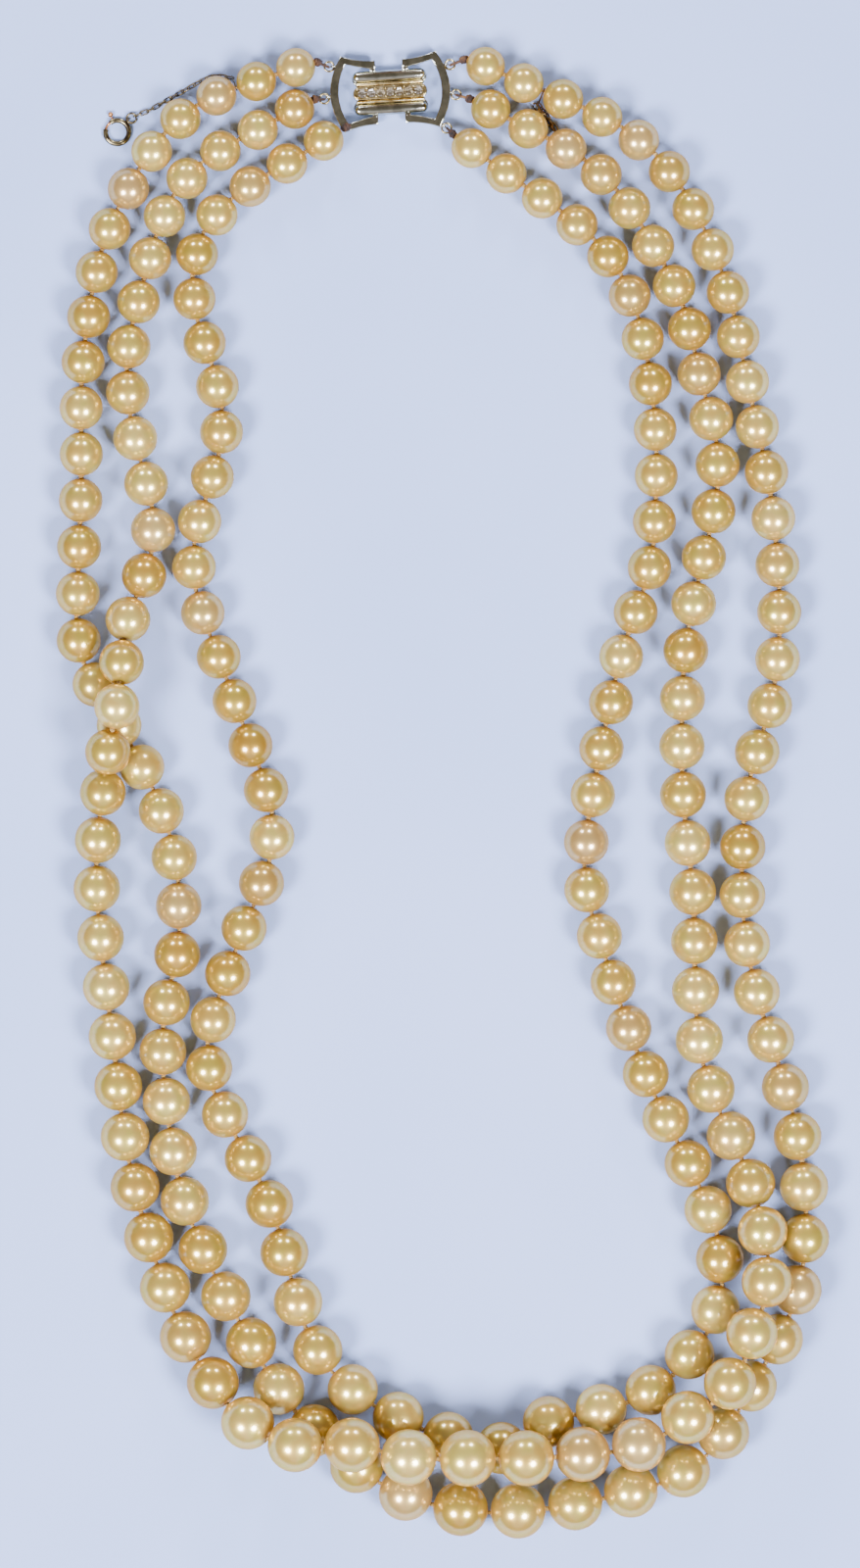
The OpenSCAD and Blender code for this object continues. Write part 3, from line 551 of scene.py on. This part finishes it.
# The barrel: a cast box of three round-ended lobes. On it lie two polished white
# gold half-round wires, two thin yellow gold ones, and the stones' raised channel.
yellow_gold, tree, shader = finish_of("yellow_gold_grain_setting", Metallic=1.0)
place = add(tree, "TexCoord").outputs["Object"]
# Redder and greener gold, and tool marks, in patches of about 1 mm.
patch = add(tree, "TexNoise", [("Vector", place)], in_Scale=1000.0, in_Detail=3.0)
gold = add(tree, "ValToRGB", [("Fac", patch.outputs["Fac"])])
stops(gold, (0.35, "#b79a5c"), (0.6, "#e2cf98"))
tree.links.new(gold.outputs["Color"], shader.inputs["Base Color"])
polish = add(tree, "MapRange", [("Value", patch.outputs["Fac"])], in_To_Min=0.12, in_To_Max=0.35)
tree.links.new(polish.outputs["Result"], shader.inputs["Roughness"])


def stadium(long, wide, y, steps=12):
    """The outline of a round-ended bar along X."""
    half, ends = (long - wide) / 2, []
    for i in range(2 * steps):
        a = math.pi * (i + 0.5) / steps - math.pi / 2
        ends.append((math.copysign(half, math.cos(a)) + wide / 2 * math.cos(a), y + wide / 2 * math.sin(a)))
    return ends


def capsule(shape, at, long, wide, high):
    """A round-ended wire along X, wide in Y and high in Z."""
    made = bmesh.ops.create_uvsphere(shape, u_segments=20, v_segments=13, radius=0.5)["verts"]
    for v in made:
        along = v.co.z * wide + math.copysign((long - wide) / 2, v.co.z)
        v.co = Vector((along, v.co.x * wide, v.co.y * high)) + Vector(at)
    smoothed(made)


BARREL_LONG, LOBE, LOBE_PITCH, LOBE_ROUND, BASE_LOW, BASE_TOP = 11.9, 2.4, 2.35, 0.12, 0.3, 1.5
ROD_LONG, ROD_Y, ROD_WIDE, ROD_HIGH = BARREL_LONG - 0.2, 2.62, 1.86, 1.6
STRIP_LONG, STRIP_Y, STRIP_WIDE, STRIP_HIGH, STRIP_UP = BARREL_LONG - 0.9, 1.38, 0.62, 0.8, 0.25
CHANNEL_LONG, CHANNEL_WIDE, CHANNEL_TOP, CHANNEL_SUNK, CHANNEL_ROUND = BARREL_LONG - 0.1, 2.1, 2.5, 0.3, 0.1
TRENCH, TRENCH_DEEP, TRENCH_SLOPE = 0.3, 0.75, 0.03
GRAIN, GRAINS, GRAIN_PITCH, GRAIN_Y, GRAIN_UP = 0.34, 8, 1.5, 0.66, 0.02
shape = bmesh.new()
for y in (-LOBE_PITCH, 0, LOBE_PITCH):
    raised(shape, stadium(BARREL_LONG, LOBE, y), BASE_LOW, BASE_TOP, LOBE_ROUND)
for s in (-1, 1):
    capsule(shape, (0, s * ROD_Y, BASE_TOP), ROD_LONG, ROD_WIDE, ROD_HIGH)
bmesh.ops.recalc_face_normals(shape, faces=shape.faces)
bmesh.ops.transform(shape, matrix=CLASP, verts=shape.verts)
show("clasp_barrel", shape, "necklace", "white_gold", white_gold, "clasp_box", smooth=False)
shape = bmesh.new()
outline = stadium(CHANNEL_LONG, CHANNEL_WIDE, 0)
raised(shape, outline, BASE_TOP - CHANNEL_SUNK, CHANNEL_TOP, CHANNEL_ROUND)
top = max(shape.faces, key=lambda f: f.calc_center_median().z - abs(f.calc_center_median().x))
bmesh.ops.inset_region(shape, faces=[top], thickness=TRENCH, depth=0)
bmesh.ops.inset_region(shape, faces=[top], thickness=TRENCH_SLOPE, depth=-TRENCH_DEEP)
for s in (-1, 1):
    capsule(shape, (0, s * STRIP_Y, BASE_TOP + STRIP_UP), STRIP_LONG, STRIP_WIDE, STRIP_HIGH)
    for i in range(GRAINS):
        bead = bmesh.ops.create_uvsphere(shape, u_segments=10, v_segments=8, radius=GRAIN / 2)["verts"]
        x = (i - (GRAINS - 1) / 2) * GRAIN_PITCH
        bmesh.ops.translate(shape, verts=bead, vec=(x, s * GRAIN_Y, CHANNEL_TOP + GRAIN_UP))
        smoothed(bead)
bmesh.ops.transform(shape, matrix=CLASP, verts=shape.verts)
show("clasp_stone_channel", shape, "necklace", "white_gold", yellow_gold, "clasp_box", smooth=False)


# The stones: seven small old brilliant cut diamonds, 1.4 mm across, each with a
# table, star and kite facets, held in the channel by the grains of gold.
diamond, tree, shader = finish_of("old_cut_diamond", Roughness=0.0, IOR=2.42, Transmission_Weight=1.0)
place = add(tree, "TexCoord").outputs["Object"]
# Clear, champagne or white: the tint changes from stone to stone.
tint = add(tree, "TexNoise", [("Vector", place)], in_Scale=450.0, in_Detail=0.0)
body = add(tree, "ValToRGB", [("Fac", tint.outputs["Fac"])])
stops(body, (0.4, "#f3dfae"), (0.6, "#fff6e2"))
tree.links.new(body.outputs["Color"], shader.inputs["Base Color"])
# The widths of the table, crown and lower facets are shares of the stone's, and the
# two levels between are shares of the crown's height and the pavilion's depth.
STONE, TABLE, CROWN_FACETS, LOWER_FACETS = 1.4, 0.56, 0.79, 0.42
CROWN, GIRDLE, PAVILION, CROWN_LEVEL, LOWER_LEVEL = 0.24, 0.05, 0.56, 0.56, 0.62
STONE_TURN, ONE_FACET = 1.3, 0.02


def ring_of(count, across, z, turn=0.0):
    """The corners of one ring of facets, turned by that share of a step."""
    steps = [math.tau * (i + turn) / count for i in range(count)]
    return [(across / 2 * math.cos(a), across / 2 * math.sin(a), z) for a in steps]


for i, at in enumerate(stones):
    shape = bmesh.new()
    corners = (
        ring_of(8, STONE * TABLE, CROWN, 0.5) + ring_of(8, STONE * CROWN_FACETS, CROWN * CROWN_LEVEL)
        + ring_of(16, STONE, GIRDLE / 2) + ring_of(16, STONE, -GIRDLE / 2)
        + ring_of(8, STONE * LOWER_FACETS, -PAVILION * LOWER_LEVEL, 0.5) + [(0, 0, -PAVILION)]
    )
    for corner in corners:
        shape.verts.new(corner)
    bmesh.ops.convex_hull(shape, input=shape.verts)
    bmesh.ops.dissolve_limit(shape, angle_limit=ONE_FACET, verts=shape.verts, edges=shape.edges)
    seat = Matrix.Translation((at.x, at.y, CHANNEL_TOP)) @ Matrix.Rotation(i * STONE_TURN, 4, "Z")
    bmesh.ops.transform(shape, matrix=seat, verts=shape.verts)
    node = f"diamond_{i + 1}"
    show(node + "_brilliant", shape, "necklace", "diamond", diamond, node, smooth=False)


# The jump rings: five rings of pale gold wire, 1.9 mm across, each through an
# eyelet of the clasp and the end loop of a strand.
ring_gold, tree, shader = finish_of("pale_gold_wire", Metallic=1.0, Roughness=0.25)
place = add(tree, "TexCoord").outputs["Object"]
# Drawn wire, still bright, with dirt in patches of about 0.5 mm.
patch = add(tree, "TexNoise", [("Vector", place)], in_Scale=1800.0, in_Detail=2.0)
gold = add(tree, "ValToRGB", [("Fac", patch.outputs["Fac"])])
stops(gold, (0.35, "#7f6c43"), (0.55, "#bcac7b"))
tree.links.new(gold.outputs["Color"], shader.inputs["Base Color"])
for name in [ring for side in SOLDERED.values() for ring, pull in side]:
    shape = bmesh.new()
    put(shape, ring_pattern(RING, RING_WIRE), Matrix.Translation(middle("jump_ring_" + name)))
    show(f"jump_ring_{name}_wire", shape, "necklace", "jump_ring_gold", ring_gold, "jump_ring_" + name)


# The safety chain: oval gold links, a quarter turn from one to the next, from the
# bolt ring to a long link round the outer strand's silk. The wire is drawn a
# little thick so that it shows. The rest of it, on the right, lies folded double.
LINK_WIRE, LONG_FROM, ROUND_TO = 0.24, 3, 1.2
LINK = ring_pattern(0.9, LINK_WIRE, 1.7, 20, 8)
LONG_LINK = ring_pattern(1.3, LINK_WIRE, 3.9, 20, 8)
RING_LINK = ring_pattern(RING, RING_WIRE, None, 24, 8)
FOLD, FOLD_ROLL, FOLD_CLOSED = Vector((-0.75, -0.35, 0.3)), 1.0, 0.35


def chain_of(node, finish, slot, fold):
    """Smooth links in the places of the CAD node's links, and again beside them where it is folded."""
    shape = bmesh.new()
    parts = loose_parts(node)
    heights = [points.mean(0)[1] for points in parts]
    for points, height in zip(parts, heights):
        spread = np.linalg.svd(points - points.mean(0), full_matrices=False)[2]
        reach = [np.ptp(points @ way) for way in spread]
        along, across = Vector(spread[0]), Vector(spread[1])
        stand = Matrix((along, across, along.cross(across))).transposed().to_4x4()
        link = LONG_LINK if reach[0] > LONG_FROM else RING_LINK if reach[0] < ROUND_TO * reach[1] else LINK
        put(shape, link, Matrix.Translation(Vector(points.mean(0))) @ stand)
        if fold and link is LINK:
            open_by = FOLD_CLOSED + (1 - FOLD_CLOSED) * (height - min(heights)) / np.ptp(heights)
            aside = Matrix.Translation(Vector(points.mean(0)) + fold * open_by) @ stand
            put(shape, link, aside @ Matrix.Rotation(FOLD_ROLL, 4, "X"))
    show(node + "_links", shape, "necklace", slot, finish, node)


for node, slot, name, dark, light, rough, fold in (
    ("safety_chain", "chain_gold", "worn_gold_chain", "#3a3123", "#8a7a55", 0.3, None),
    ("chain_end", "tarnished_gold", "blackened_gold_chain", "#4c3822", "#a38252", 0.32, FOLD),
):
    finish, tree, shader = finish_of(name, Metallic=1.0, Roughness=rough)
    place = add(tree, "TexCoord").outputs["Object"]
    # Tarnish, lighter where the links rub, in patches of about 0.6 mm.
    patch = add(tree, "TexNoise", [("Vector", place)], in_Scale=1500.0, in_Detail=3.0)
    tone = add(tree, "ValToRGB", [("Fac", patch.outputs["Fac"])])
    stops(tone, (0.38, dark), (0.6, light))
    tree.links.new(tone.outputs["Color"], shader.inputs["Base Color"])
    chain_of(node, finish, slot, fold)


# The bolt ring: a hollow spring ring of worn white gold, and in it the sliding
# wire with its thumb piece, rubbed down to the copper coloured gold below.
for node, name, dark, light, rough in (
    ("bolt_ring", "worn_bolt_ring_gold", "#574c38", "#93865f", 0.25),
    ("bolt", "rubbed_copper_gold", "#8a4d22", "#c98a52", 0.35),
):
    finish, tree, shader = finish_of(name, Metallic=1.0, Roughness=rough)
    place = add(tree, "TexCoord").outputs["Object"]
    # Wear and dirt in patches of about 0.8 mm.
    patch = add(tree, "TexNoise", [("Vector", place)], in_Scale=1200.0, in_Detail=3.0)
    tone = add(tree, "ValToRGB", [("Fac", patch.outputs["Fac"])])
    stops(tone, (0.38, dark), (0.62, light))
    tree.links.new(tone.outputs["Color"], shader.inputs["Base Color"])
    for material_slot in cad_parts[node].material_slots:
        material_slot.material = finish
